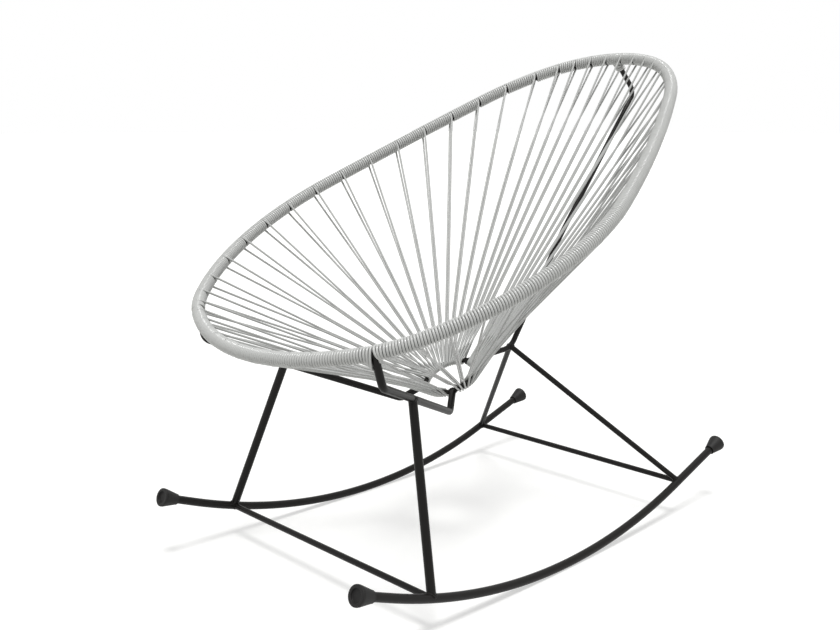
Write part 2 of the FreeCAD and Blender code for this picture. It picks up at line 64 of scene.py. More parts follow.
# The lens was fitted to the middles of pixels, so the picture is shifted by half of one.
half_pixel = 0.5 / PICTURE_WIDTH
camera_data = bpy.data.cameras.new("photo_camera")
camera_data.sensor_width = 36
camera_data.lens = 43.245
camera_data.shift_x = -half_pixel
camera_data.shift_y = half_pixel
camera = placed("photo_camera", camera_data)
camera.location = (1.20332, -1.28585, 0.72456)
camera.rotation_euler = (math.radians(90 - LOOKING_DOWN), 0, math.radians(LOOKING_ASIDE))
bpy.context.scene.camera = camera
print("camera at", tuple(camera.location), "lens", camera_data.lens)

# %% [markdown]
# ## Nodes in one line
# Materials and geometry trees are both node trees, so one small function serves both. It adds
# a node, sets its properties, and sets or links its inputs. Colours are written as sRGB hex,
# as a colour picker shows them, and a shader wants linear values, so one function turns them.


# %% Node and colour helpers
def add_node(tree, kind, settings=None, inputs=None):
    """Adds a node, sets its properties, and sets or links its inputs."""
    node = tree.nodes.new(kind)
    for name, value in (settings or {}).items():
        setattr(node, name, value)
    for name, value in (inputs or {}).items():
        if isinstance(value, bpy.types.NodeSocket):
            tree.links.new(value, node.inputs[name])
        else:
            node.inputs[name].default_value = value
    return node


def linear(colour):
    """The linear colour of an sRGB hex value."""
    shares = [int(colour[start : start + 2], 16) / 255 for start in (1, 3, 5)]
    return [
        share / 12.92 if share <= 0.04045 else ((share + 0.055) / 1.055) ** 2.4
        for share in shares
    ] + [1]


def new_finish(name):
    """A material with its tree and its shader."""
    finish = bpy.data.materials.new(name)
    finish.use_nodes = True
    return finish, finish.node_tree, finish.node_tree.nodes["Principled BSDF"]


print("mid grey", [round(share, 3) for share in linear("#808080")])

# %% [markdown]
# ## Uneven finishes
# No real surface has one tone or one gloss. Each finish drifts between two tones in broad
# patches, and a finer grain changes its gloss and gives it a slight relief. Both are noises,
# each with the size of its spots in millimetres and a detail.


# %% A finish with patches and grain
def uneven_finish(name, tones, patches, gloss, grain, relief, ior, specular=0.5):
    """A finish between two tones and two roughnesses, with a strength and depth of relief."""
    finish, tree, shader = new_finish(name)
    coords = add_node(tree, "ShaderNodeTexCoord")
    noises = []
    for size, detail in (patches, grain):
        noise = add_node(
            tree,
            "ShaderNodeTexNoise",
            inputs={
                "Vector": coords.outputs["Object"],
                "Scale": 1000 / size,
                "Detail": detail,
            },
        )
        noises.append(noise.outputs[0])
    drift, grains = noises
    tone = add_node(
        tree,
        "ShaderNodeMix",
        {"data_type": "RGBA"},
        {0: drift, 6: linear(tones[0]), 7: linear(tones[1])},
    )
    rough = add_node(
        tree,
        "ShaderNodeMapRange",
        inputs={"Value": grains, "To Min": gloss[0], "To Max": gloss[1]},
    )
    bump = add_node(
        tree,
        "ShaderNodeBump",
        inputs={"Height": grains, "Strength": relief[0], "Distance": relief[1] / 1000},
    )
    tree.links.new(tone.outputs[2], shader.inputs["Base Color"])
    tree.links.new(rough.outputs[0], shader.inputs["Roughness"])
    tree.links.new(bump.outputs[0], shader.inputs["Normal"])
    shader.inputs["IOR"].default_value = ior
    shader.inputs["Specular IOR Level"].default_value = specular
    print("finish", name)
    return finish


# %% [markdown]
# ## Powder-coated steel
# The rods are dusted with a black polyester powder that melts in an oven. The skin is satin,
# not glossy: it flows into a fine orange peel, so that highlights are broad and soft.

# %% Powder-coated steel
# To the eye: a warm near-black with wide grey highlights and a barely uneven gloss.
# The peel is about 0.6 mm across. It is drawn at 1.5 mm, or it would not show in the render.
powder_coat = uneven_finish(
    "powder_coated_steel",
    tones=("#0d0c0b", "#171513"),
    patches=(45, 2),
    gloss=(0.34, 0.48),
    grain=(1.5, 3),
    relief=(0.12, 0.4),
    ior=1.5,
    specular=0.18,
)

# %% [markdown]
# ## PVC cord
# The cord is soft PVC, extruded round and light grey all through. Where it is wound its skin
# stays glossy. Where it is stretched it goes a little thinner and more satin, and its tones
# are a shade darker, matched to the photograph. Where it is stretched it goes a little
# thinner and more satin, and its tones are set a shade darker as painted shade, which stands
# in for the shading along the strands.

# %% PVC cord, wound and stretched
# To the eye: a cool light grey with a narrow soft highlight along each turn.
# Handling marks are near 1 mm. They are drawn at 2.5 mm to show in the render.
PVC = {"patches": (30, 3), "grain": (2.5, 2), "relief": (0.08, 0.3), "ior": 1.53}
wound_pvc = uneven_finish(
    "pvc_cord_wound", tones=("#bbbcba", "#c8c9c7"), gloss=(0.15, 0.24), **PVC
)
# The darker tones of the stretched cord are painted shade. The cord itself is one grey.
stretched_pvc_painted_shade = uneven_finish(
    "pvc_cord_stretched_painted_shade", tones=("#adaeac", "#babbb9"), gloss=(0.22, 0.34), **PVC
)

# %% [markdown]
# ## Moulded rubber
# The rocker tips are black rubber, pressed in a mould with a dull etched skin. Rubber has
# almost no highlight and takes dust, so its colour drifts toward grey in patches.

# %% Moulded rubber
# To the eye: a flat black, a shade lighter than the gaps, with no clear reflection.
rubber = uneven_finish(
    "moulded_rubber",
    tones=("#080707", "#141312"),
    patches=(12, 3),
    gloss=(0.5, 0.7),
    grain=(1.2, 4),
    relief=(0.2, 0.4),
    ior=1.52,
    specular=0.3,
)

# %% [markdown]
# ## Routes
# Every rod and cord follows straight runs and arcs, as a bender makes them. A stretch is a
# length with a function that gives the point and the direction at a distance along it, so
# that a route can be sampled as finely as each piece needs. Sizes are in millimetres, from the
# contact of the rockers with the floor, and become metres when a mesh is made.


# %% Straight runs, arcs and bends
CONTACT_AHEAD = 28


def spot(across, behind, height):
    """A point from the rocker contact under the middle of the chair."""
    return Vector((across, behind - CONTACT_AHEAD, height))


def heading(angle, slope):
    """A direction in a plane that rises to the rear, turned from straight across."""
    turned, rise = math.radians(angle), math.radians(slope)
    level = math.sin(turned)
    return Vector((math.cos(turned), level * math.cos(rise), level * math.sin(rise)))


def straight(start, end):
    along = (end - start).normalized()
    return (end - start).length, lambda distance: (start + along * distance, along)


def arc(centre, start, axis, angle):
    out = start - centre

    def at(distance):
        turned = Quaternion(axis, distance / out.length) @ out
        return centre + turned, axis.cross(turned).normalized()

    return out.length * angle, at


def bend(start, angle, slope, radius, sweep):
    """An arc in a sloping plane that starts along a heading and turns to the rear."""
    inward = heading(angle + 90, slope)
    axis = heading(angle, slope).cross(inward)
    return arc(start + inward * radius, start, axis, math.radians(sweep))


def arc_from(start, along, end):
    """An arc that leaves the start in a direction and passes through the end."""
    chord = end - start
    turn = along.angle(chord)
    axis = along.cross(chord).normalized()
    centre = start + axis.cross(along) * (chord.length / (2 * math.sin(turn)))
    return arc(centre, start, axis, 2 * turn)


print("a quarter bend of 100 mm is", round(bend(Vector(), 0, 0, 100, 90)[0], 1), "mm long")


# %% Routes of several stretches
def end_of(stretch):
    """Point and direction at the end of a stretch."""
    length, at = stretch
    return at(length)


def bent(corners, radii):
    """Straight runs through the corners, with an arc of each radius."""
    route = []
    start = corners[0]
    for before, corner, after, radius in zip(corners, corners[1:], corners[2:], radii):
        back = (before - corner).normalized()
        onward = (after - corner).normalized()
        half = back.angle(onward) / 2
        reach = radius / math.tan(half)
        centre = corner + (back + onward).normalized() * (radius / math.sin(half))
        axis = onward.cross(back).normalized()
        route.append(straight(start, corner + back * reach))
        route.append(arc(centre, corner + back * reach, axis, math.pi - 2 * half))
        start = corner + onward * reach
    return route + [straight(start, corners[-1])]


def place(route, distance):
    """Point and direction at a distance along a route."""
    for length, at in route[:-1]:
        if distance <= length:
            return at(distance)
        distance -= length
    return route[-1][1](distance)


def length_of(route):
    return sum(length for length, at in route)


def points_along(route, step):
    """Points on a route, at most a step apart."""
    count = math.ceil(length_of(route) / step)
    return [place(route, length_of(route) * number / count)[0] for number in range(count + 1)]


def mirrored(points):
    """The same points on the other side of the middle plane."""
    return [Vector((-point.x, point.y, point.z)) for point in points]


trial = bent([Vector(), Vector((100, 0, 0)), Vector((100, 100, 0))], [20])
print("a corner of 20 mm between runs of 100 mm:", round(length_of(trial), 1), "mm of rod")

# %% [markdown]
# ## A tree for rods and cords
# A rod is a circle carried along a path. Geometry Nodes do that well: the path is a mesh of
# edges, the tree turns it into curves and sweeps a circle along them, and the sizes are
# inputs. The path can carry a girth at each point, which swells a cord or a weld bead there.


# %% The two ends of a tree
def new_tree(name, sizes):
    """A geometry tree with named inputs, and its two end nodes."""
    tree = bpy.data.node_groups.new(name, "GeometryNodeTree")
    tree.interface.new_socket("Geometry", in_out="INPUT", socket_type="NodeSocketGeometry")
    for label, kind in sizes.items():
        tree.interface.new_socket(label, in_out="INPUT", socket_type=kind)
    tree.interface.new_socket("Geometry", in_out="OUTPUT", socket_type="NodeSocketGeometry")
    return tree, add_node(tree, "NodeGroupInput"), add_node(tree, "NodeGroupOutput")


def swept(tree, given, curve, scale):
    """The end of a tree: a circle swept along the curve, made real and painted."""
    circle = add_node(
        tree,
        "GeometryNodeCurvePrimitiveCircle",
        inputs={"Resolution": given.outputs["Sides"], "Radius": given.outputs["Radius"]},
    )
    skin = add_node(
        tree,
        "GeometryNodeCurveToMesh",
        inputs={
            "Curve": curve,
            "Profile Curve": circle.outputs["Curve"],
            "Scale": scale,
            "Fill Caps": True,
        },
    )
    smooth = add_node(
        tree, "GeometryNodeSetShadeSmooth", inputs={"Geometry": skin.outputs["Mesh"]}
    )
    real = add_node(
        tree, "GeometryNodeRealizeInstances", inputs={"Geometry": smooth.outputs["Geometry"]}
    )
    return add_node(
        tree,
        "GeometryNodeSetMaterial",
        inputs={"Geometry": real.outputs["Geometry"], "Material": given.outputs["Material"]},
    )


# %% The rod tree
ROD_SIZES = {
    "Radius": "NodeSocketFloat",
    "Sides": "NodeSocketInt",
    "Material": "NodeSocketMaterial",
}
rod_tree, given, result = new_tree("rod_along_a_path", ROD_SIZES)
path = add_node(
    rod_tree, "GeometryNodeMeshToCurve", inputs={"Mesh": given.outputs["Geometry"]}
)
girth = add_node(
    rod_tree,
    "GeometryNodeInputNamedAttribute",
    {"data_type": "FLOAT"},
    {"Name": "girth"},
)
painted = swept(rod_tree, given, path.outputs["Curve"], girth.outputs["Attribute"])
rod_tree.links.new(painted.outputs["Geometry"], result.inputs["Geometry"])
print(len(rod_tree.nodes), "nodes in the rod tree")

# %% [markdown]
# ## From a path to a finished piece
# A path is given to a tree, and what the tree makes is kept as a plain mesh. The finished
# piece then rides the chair's one body and takes the place of its CAD node.

# %% Paths
# What a path carries for its tree, and the finished mesh has no use for.
PATH_VALUES = ("girth", "turns", "outward", "dip")


def carry(mesh, label, values, kind="FLOAT"):
    """Gives each point of a path a number or a direction for its tree."""
    field = "value" if kind == "FLOAT" else "vector"
    mesh.attributes.new(label, kind, "POINT").data.foreach_set(field, values)


def path_mesh(name, runs, girths=None, closed=False):
    """A mesh of edges along one or more runs of points, in metres."""
    points, edges = [], []
    for run in runs:
        first = len(points)
        points += [point / 1000 for point in run]
        edges += [(number, number + 1) for number in range(first, len(points) - 1)]
        if closed:
            edges.append((len(points) - 1, first))
    mesh = bpy.data.meshes.new(name)
    mesh.from_pydata(points, edges, [])
    flat = [share for run in girths for share in run] if girths else [1.0] * len(points)
    carry(mesh, "girth", flat)
    return mesh


# %% Tubes
def grown(name, mesh, tree, sizes):
    """Runs a tree on a path and keeps what it makes as a plain mesh."""
    holder = placed(name + "_path", mesh)
    modifier = holder.modifiers.new("tree", "NODES")
    modifier.node_group = tree
    for socket in tree.interface.items_tree:
        if socket.in_out == "INPUT" and socket.name in sizes:
            modifier[socket.identifier] = sizes[socket.name]
    ready = holder.evaluated_get(bpy.context.evaluated_depsgraph_get())
    plain = bpy.data.meshes.new_from_object(ready)
    plain.name = name
    for label in [item.name for item in plain.attributes if item.name in PATH_VALUES]:
        plain.attributes.remove(plain.attributes[label])
    bpy.data.objects.remove(holder)
    bpy.data.meshes.remove(mesh)
    return placed(name, plain)


def tube(name, runs, diameter, sides, finish, girths=None, closed=False):
    """Rods or cords of one diameter along one or more runs of points."""
    sizes = {"Radius": diameter / 2000, "Sides": sides, "Material": finish}
    return grown(name, path_mesh(name, runs, girths, closed), rod_tree, sizes)


# %% Dressed pieces
def dress(piece, slot, *nodes):
    """Puts a finished piece on the chair's one body, in place of its CAD nodes."""
    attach(piece, "root")
    if nodes:
        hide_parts(*nodes)
    triangles = sum(len(face.vertices) - 2 for face in piece.data.polygons)
    print(piece.name, triangles, "triangles")


def rod(name, node, line, diameter, sides=24, closed=False):
    """A steel rod along a line of points."""
    piece = tube(name, [line], diameter, sides, powder_coat, closed=closed)
    dress(piece, "black_steel", node)


def rod_pair(name, node, line, diameter):
    """The same rod on both sides of the chair."""
    rod(f"left_{name}", f"left_{node}", line, diameter)
    rod(f"right_{name}", f"right_{node}", mirrored(line), diameter)


# %% [markdown]
# ## Rockers
# Each rocker is one long bend of 14 mm rod with straight ends. It touches the floor at one
# point only, straight under the chair's balance, so its arc decides how the chair rocks.

# %% Rockers
ROCKER_ROD, HALF_SPACING = 14, 250
ROCKER_RADIUS, ROCKER_STEPS = 1046.4, 96
FRONT_SWEEP, REAR_SWEEP = math.radians(21.8), math.radians(18.4)
FRONT_STRAIGHT, REAR_STRAIGHT = 60, 147
bend_front, bend_rear = -FRONT_SWEEP * ROCKER_RADIUS, REAR_SWEEP * ROCKER_RADIUS
rocker_front, rocker_rear = bend_front - FRONT_STRAIGHT, bend_rear + REAR_STRAIGHT


def rocker_point(distance, across=HALF_SPACING):
    """A point on a rocker, at a distance behind the contact along the rod."""
    bent_part = min(max(distance, bend_front), bend_rear)
    turn = bent_part / ROCKER_RADIUS
    rest = distance - bent_part
    behind = ROCKER_RADIUS * math.sin(turn) + rest * math.cos(turn)
    height = ROCKER_ROD / 2 + ROCKER_RADIUS * (1 - math.cos(turn)) + rest * math.sin(turn)
    return spot(across, behind, height)


rocker_line = [
    rocker_point(rocker_front + (rocker_rear - rocker_front) * number / ROCKER_STEPS)
    for number in range(ROCKER_STEPS + 1)
]
rod_pair("rocker_rod", "rocker", rocker_line, ROCKER_ROD)
print("rocker length", round(rocker_rear - rocker_front, 1), "mm")

# %% [markdown]
# ## The hoop
# The hoop is bent in tangent arcs: a flat lip in front, tight corners, long sides, nearly
# straight flanks and a round head. Half of it is worked out, and the other half mirrored. A
# place on the hoop is a distance from the middle of the lip, positive on the sitter's left.

# %% The hoop's line
RIM_ROD, RIM_HEIGHT, RIM_REACH = 14, 612, 492
SLOPE, HEAD_SLOPE = 26.3, 28.4
FRONT_BENDS = ((412, 30.9), (201, 20), (426, 54.5))
FLANK_LENGTH, FLANK_TURN = 369, 9
SHOULDER_RADIUS, SHOULDER_TURN = 359, 19.3
half_rim = []
turned = 0
start = spot(0, 0, RIM_HEIGHT) + heading(90, SLOPE) * -RIM_REACH
for radius, sweep in FRONT_BENDS:
    half_rim.append(bend(start, turned, SLOPE, radius, sweep))
    start = end_of(half_rim[-1])[0]
    turned += sweep
# The flank starts in the slope of the seat and ends in that of the head, so it is two arcs.
between_slopes = (SLOPE + HEAD_SLOPE) / 2
flank_end = start + heading(turned + FLANK_TURN / 2, between_slopes) * FLANK_LENGTH
leaving, arriving = heading(turned, SLOPE), heading(turned + FLANK_TURN, HEAD_SLOPE)
chord = flank_end - start
spread = 2 * (1 - leaving.dot(arriving))
lean = chord.dot(leaving + arriving)
reach = (math.sqrt(lean * lean + spread * chord.dot(chord)) - lean) / spread
meeting = (start + flank_end + (leaving - arriving) * reach) / 2
half_rim.append(arc_from(start, leaving, meeting))
half_rim.append(arc_from(meeting, end_of(half_rim[-1])[1], flank_end))
turned += FLANK_TURN
half_rim.append(bend(flank_end, turned, HEAD_SLOPE, SHOULDER_RADIUS, SHOULDER_TURN))
turned += SHOULDER_TURN
start = end_of(half_rim[-1])[0]
head_radius = start.x / math.sin(math.radians(180 - turned))
half_rim.append(bend(start, turned, HEAD_SLOPE, head_radius, 180 - turned))
half_length = length_of(half_rim)
rim_normal = heading(0, SLOPE).cross(heading(90, SLOPE))
print("half of the hoop", round(half_length, 1), "mm, head radius", round(head_radius, 1))


# %% Any place on the hoop, and its rod
def rim_at(distance):
    """Centre, direction, outward and upward of the hoop at a place on it."""
    if distance > half_length:
        distance -= 2 * half_length
    point, along = place(half_rim, abs(distance))
    if distance < 0:
        point = Vector((-point.x, point.y, point.z))
        along = Vector((along.x, -along.y, -along.z))
    upward = (rim_normal - along * rim_normal.dot(along)).normalized()
    return point, along, along.cross(upward), upward


rim_top = rim_at(half_length)[0]
rim_half_line = points_along(half_rim, step=7)
rim_line = rim_half_line + mirrored(rim_half_line)[-2:0:-1]
rod("hoop_rod", "rim_rod", rim_line, RIM_ROD, sides=16, closed=True)

# %% [markdown]
# ## Ring, stays and spine
# The ring gathers the cords under the seat. Two stays drop from the lip, run back under the
# seat and rise to the ring, and a spine climbs from the back of the ring to the head of the
# hoop. Each one is a single bent rod, so each one is one route with rounded corners. The ring
# is shared out in slots, one for each cord, with some left free for the stays and the spine.

# %% The ring under the seat
RING_ROD, RING_RADIUS, RING_TILT, RING_POINTS = 8, 46, 27, 72
HALF_CORDS, CORDS_BEFORE_RISER = 26, 6
RISER_SLOTS, SPINE_SLOTS = 4, 1.5
ring_step = math.pi / (HALF_CORDS + RISER_SLOTS + SPINE_SLOTS)
ring_middle = spot(0, -15, 284)
ring_turn = Quaternion((1, 0, 0), math.radians(RING_TILT))


def ring_point(angle):
    """A point on the ring, at an angle from its front toward the sitter's left."""
    flat = Vector((math.sin(angle), -math.cos(angle), 0)) * RING_RADIUS
    return ring_middle + ring_turn @ flat


def ring_direction(angle):
    """The direction of the ring's rod at an angle."""
    return ring_turn @ Vector((math.cos(angle), math.sin(angle), 0))


ring_line = [ring_point(2 * math.pi * number / RING_POINTS) for number in range(RING_POINTS)]
rod("gathering_ring", "bottom_ring", ring_line, RING_ROD, sides=16, closed=True)

# %% The front stays
STAY_ROD, STAY_PLACE = 12, 228
ELBOW_BEND, KNEE_BEND = 17, 15
riser_angle = ring_step * (CORDS_BEFORE_RISER + RISER_SLOTS / 2)
riser = ring_point(riser_angle)
stay_top = rim_at(STAY_PLACE)[0]
elbow, knee = stay_top + Vector((3.4, 11.9, -50)), spot(60, -78, 244.5)
stay_route = bent([stay_top, elbow, knee, riser], [ELBOW_BEND, KNEE_BEND])
rod_pair("stay_rod", "front_stay", points_along(stay_route, step=3), STAY_ROD)

# %% The spine
SPINE_ROD = 10
NAPE_BEND, WAIST_BEND, SEAT_BEND = 20, 600, 35
nape = rim_top + Vector((0, 68.5, -62.6))
waist, seat = spot(0, 287, 510), spot(0, 145.8, 311.2)
ring_rear = ring_point(math.pi)
spine_corners = [rim_top, nape, waist, seat, ring_rear]
spine_route = bent(spine_corners, [NAPE_BEND, WAIST_BEND, SEAT_BEND])
rod("spine_rod", "back_spine", points_along(spine_route, step=4), SPINE_ROD)
# The rear legs meet the spine in the middle of its last bend, just before its last run.
seat_length, seat_at = spine_route[-2]
spine_seat, spine_along = seat_at(seat_length / 2)
print("spine", round(length_of(spine_route), 1), "mm")

# %% [markdown]
# ## Legs and cross bars
# The front legs stand under the stays, and the rear legs lean together to meet at the spine.
# Two thin bars tie the rockers together at the feet of the legs. Each rod runs on into the
# middle of the rod it is welded to, which hides its end, as a coped joint does.

# %% Legs and cross bars
LEG_TUBE, THIN_ROD = 14, 10
FRONT_FOOT, REAR_FOOT, LEG_BEHIND_ELBOW = -314, 348, 140.5
stay_along = (knee - elbow).normalized()
leg_top = elbow + stay_along * LEG_BEHIND_ELBOW
front_foot, rear_foot = rocker_point(FRONT_FOOT), rocker_point(REAR_FOOT)
rod_pair("front_leg_tube", "front_leg", [front_foot, leg_top], LEG_TUBE)
rod_pair("rear_leg_rod", "rear_leg", [rear_foot, spine_seat], THIN_ROD)
for end, foot in (("front", front_foot), ("rear", rear_foot)):
    rod(f"{end}_bar_rod", f"{end}_cross_bar", [foot, *mirrored([foot])], THIN_ROD)

# %% [markdown]
# ## Weld beads
# A welder runs a small bead round each joint, in overlapping drops, and the powder coat covers
# it. The bead lies where the skin of one rod meets the other, so its path is worked out from
# the two rods, and a ripple in its girth gives the drops.

# %% Weld beads
BEAD, BEAD_POINTS = 3, 60
DROP_POINTS, DROP_SWELL = 5, 0.2


def weld_line(start, away, diameter, along, other_diameter):
    """A loop where the skin of a rod, leading away, meets the rod that it stands on."""
    loop = []
    aside = away.orthogonal().normalized()
    square = away.cross(aside)
    rise = away - along * away.dot(along)
    for number in range(BEAD_POINTS):
        angle = 2 * math.pi * number / BEAD_POINTS
        skin = (aside * math.cos(angle) + square * math.sin(angle)) * (diameter / 2)
        gap = skin - along * skin.dot(along)
        # The distance at which a line on the skin comes out of the other rod.
        a, b = rise.dot(rise), 2 * rise.dot(gap)
        c = gap.dot(gap) - (other_diameter / 2) ** 2
        distance = (-b + math.sqrt(max(b * b - 4 * a * c, 0))) / (2 * a)
        loop.append(start + skin + away * distance)
    return loop


def rocker_along(distance):
    return (rocker_point(distance + 1) - rocker_point(distance - 1)).normalized()


across = Vector((-1, 0, 0))
leg_up = (leg_top - front_foot).normalized()
rear_up = (spine_seat - rear_foot).normalized()
to_knee, to_seat = (knee - riser).normalized(), (seat - ring_rear).normalized()
left_welds = [
    weld_line(front_foot, leg_up, LEG_TUBE, rocker_along(FRONT_FOOT), ROCKER_ROD),
    weld_line(front_foot, across, THIN_ROD, rocker_along(FRONT_FOOT), ROCKER_ROD),
    weld_line(rear_foot, rear_up, THIN_ROD, rocker_along(REAR_FOOT), ROCKER_ROD),
    weld_line(rear_foot, across, THIN_ROD, rocker_along(REAR_FOOT), ROCKER_ROD),
    weld_line(leg_top, leg_up * -1, LEG_TUBE, stay_along, STAY_ROD),
    weld_line(riser, to_knee, STAY_ROD, ring_direction(riser_angle), RING_ROD),
    weld_line(spine_seat, rear_up * -1, THIN_ROD, spine_along, SPINE_ROD),
]
welds = left_welds + [mirrored(loop) for loop in left_welds]
welds.append(weld_line(ring_rear, to_seat, SPINE_ROD, across, RING_ROD))
drops = [
    1 + DROP_SWELL * math.sin(2 * math.pi * number / DROP_POINTS)
    for number in range(BEAD_POINTS)
]
girths = [drops] * len(welds)
beads = tube("weld_beads", welds, BEAD, 8, powder_coat, girths, closed=True)
dress(beads, "black_steel")
print(len(welds), "welds")

# %% [markdown]
# ## Rubber tips
# A flared rubber cap is pushed on each rocker end. It is a turned shape, so its outline is
# drawn once and spun about the rod. Moulded edges are never sharp: each corner of the outline
# is rounded first. The four caps share one mesh, as they do in the CAD model.

# %% The outline of a tip
CURVE_SHARES = (0, 0.25, 0.5, 0.75, 1)
MOST_OF_SIDE = 0.45


def rounded(corners, radius):
    """An outline with each corner replaced by a short curve."""
    outline = [corners[0]]
    for before, corner, after in zip(corners, corners[1:], corners[2:]):
        back, onward = (before - corner), (after - corner)
        reach = min(radius, back.length * MOST_OF_SIDE, onward.length * MOST_OF_SIDE)
        first = corner + back.normalized() * reach
        last = corner + onward.normalized() * reach
        for share in CURVE_SHARES:
            outline.append(first.lerp(corner, share).lerp(corner.lerp(last, share), share))
    return outline + [corners[-1]]


# Each corner is a distance from the rod's middle and a distance from the mouth of the cap.
GRIP, EDGE_ROUND = 22, 1.3
hollow = [(0, GRIP), (7, GRIP), (7, 0)]
flare = [(9.5, 0), (9.5, 2), (15.5, 26), (15.5, 30)]
dished_end = [(10, 30), (10, 27), (0, 27)]
tip_outline = rounded([Vector(corner) for corner in hollow + flare + dished_end], EDGE_ROUND)
print(len(tip_outline), "points in the outline of a tip")

# %% Spin the outline at the four rocker ends
TIP_SIDES = 40
points, faces = [], []
rings = tip_outline[1:-1]
for side in (HALF_SPACING, -HALF_SPACING):
    for end in (rocker_front, rocker_rear):
        mouth = rocker_point(end - math.copysign(GRIP, end), side)
        outward = (rocker_point(end, side) - mouth).normalized()
        aside = outward.orthogonal().normalized()
        square = outward.cross(aside)
        first = len(points)
        points.append((mouth + outward * tip_outline[0].y) / 1000)
        for out, along in rings:
            for number in range(TIP_SIDES):
                angle = 2 * math.pi * number / TIP_SIDES
                around = aside * math.cos(angle) + square * math.sin(angle)
                points.append((mouth + outward * along + around * out) / 1000)
        points.append((mouth + outward * tip_outline[-1].y) / 1000)
        for number in range(TIP_SIDES):
            after = (number + 1) % TIP_SIDES
            faces.append((first, first + 1 + after, first + 1 + number))
            for row in range(len(rings) - 1):
                low = first + 1 + row * TIP_SIDES
                high = low + TIP_SIDES
                faces.append((low + number, low + after, high + after, high + number))
            top = first + 1 + (len(rings) - 1) * TIP_SIDES
            faces.append((top + number, top + after, len(points) - 1))
mesh = bpy.data.meshes.new("rubber_tips")
mesh.from_pydata(points, [], faces)
mesh.materials.append(rubber)
mesh.shade_smooth()
dress(placed("rubber_tips", mesh), "rubber_tip", "rocker_tips")

# %% [markdown]
# ## Where the cord leaves the hoop
# The cord is one long line: it winds round the hoop, and at each node it leaves over the top,
# runs to the ring, and comes back under the hoop to wind on. So the winding and the runs fit
# together end to end. Soft cords cling: the two runs of a node draw together on the way down,
# lie side by side, and part again to pass round the ring. For each node this cell finds both
# runs, the wrap round the ring, and at what part of a turn the cord leaves and comes back.
# Turns count from the outside of the hoop, over the top: half a turn is inside.

# %% Nodes of the stringing
CORD, STRAND = 4.3, 3.7
CORD_ROOM, STRAND_ROOM = 0.3, 0.15
RIM_OFFSET = RIM_ROD / 2 + CORD_ROOM + CORD / 2
RING_OFFSET = RING_ROD / 2 + STRAND_ROOM + STRAND / 2
LIP_CORDS, LIP_STEP = 8, 38
HEAD_CORDS, HEAD_STEP = 4, 35
side_cords = HALF_CORDS - LIP_CORDS - HEAD_CORDS
lip_end, head_length = LIP_CORDS * LIP_STEP, HEAD_CORDS * HEAD_STEP
side_step = (half_length - head_length - lip_end) / side_cords
lip_places = [LIP_STEP * (number + 0.5) for number in range(LIP_CORDS)]
side_places = [lip_end + side_step * (number + 0.5) for number in range(side_cords)]
head_places = [
    half_length - HEAD_STEP * (HEAD_CORDS - 0.5 - number) for number in range(HEAD_CORDS)
]
half_places = lip_places + side_places + head_places
nodes = sorted([-distance for distance in half_places] + half_places)
print(len(nodes), "nodes on the hoop")

# %% The runs of each node
# How far each of two runs lies from the middle of its pair, how far from the hoop the runs
# meet at the lip and at the head, and how far from the ring they part again.
BESIDE, LIP_MEET, HEAD_MEET, PART = 1.9, 230, 185, 70
WRAP_STEPS = 10


def hairpin(node):
    """The runs of a node, its wrap, and the parts of a turn where it leaves and joins."""
    number = half_places.index(abs(node))
    slot = number + 0.5 + (RISER_SLOTS if number >= CORDS_BEFORE_RISER else 0)
    angle = math.copysign(ring_step * slot, node)
    on_ring, ring_along = ring_point(angle), ring_direction(angle)
    on_rim, along, outward, upward = rim_at(node)
    down = (on_ring - on_rim).normalized()
    up = along.cross(down).normalized()
    if up.z < 0:
        up = up * -1
    rim_aside = (along - down * along.dot(down)).normalized() * BESIDE
    ring_aside = (ring_along - down * ring_along.dot(down)).normalized() * BESIDE
    meet = LIP_MEET + (HEAD_MEET - LIP_MEET) * abs(node) / half_length
    rim_lean, ring_lean = RIM_OFFSET / meet, RING_OFFSET / PART
    runs, turns = [], []
    for way in (1, -1):
        square = up * (way * math.sqrt(1 - rim_lean**2)) + down * rim_lean
        turns.append(math.atan2(square.dot(upward), square.dot(outward)) / (2 * math.pi) % 1)
        runs.append(
            [
                on_rim + square * RIM_OFFSET - rim_aside * way,
                on_rim + down * meet - rim_aside * way,
                on_ring - down * PART - ring_aside * way,
            ]
        )
    from_top = (up * math.sqrt(1 - ring_lean**2) - down * ring_lean) * RING_OFFSET
    axis = from_top.cross(down).normalized()
    whole_turn = math.pi + 2 * math.asin(ring_lean)
    wrap = []
    for step in range(WRAP_STEPS + 1):
        share = step / WRAP_STEPS
        on_wrap = on_ring + Quaternion(axis, whole_turn * share) @ from_top
        wrap.append(on_wrap + ring_aside * (2 * share - 1))
    return {
        "upper": runs[0],
        "lower": runs[1],
        "wrap": wrap,
        "leaving": turns[0],
        "joining": turns[1],
    }


hairpins = {node: hairpin(node) for node in nodes}
leaving_turns = [pin["leaving"] for pin in hairpins.values()]
print("leaving at", round(min(leaving_turns), 3), "to", round(max(leaving_turns), 3))

# %% [markdown]
# ## The winding
# More than six hundred turns lie against each other round the hoop, which calls for a tree.
# The path is the middle of the hoop, and each of its points carries the way outward and a
# count of turns. The tree moves a finely divided copy of the path out to the radius of the
# winding, at the angle that the count gives, and sweeps the cord along it. Beside each front
# stay the last turns are pulled down over the joint, which the path carries as a dip.

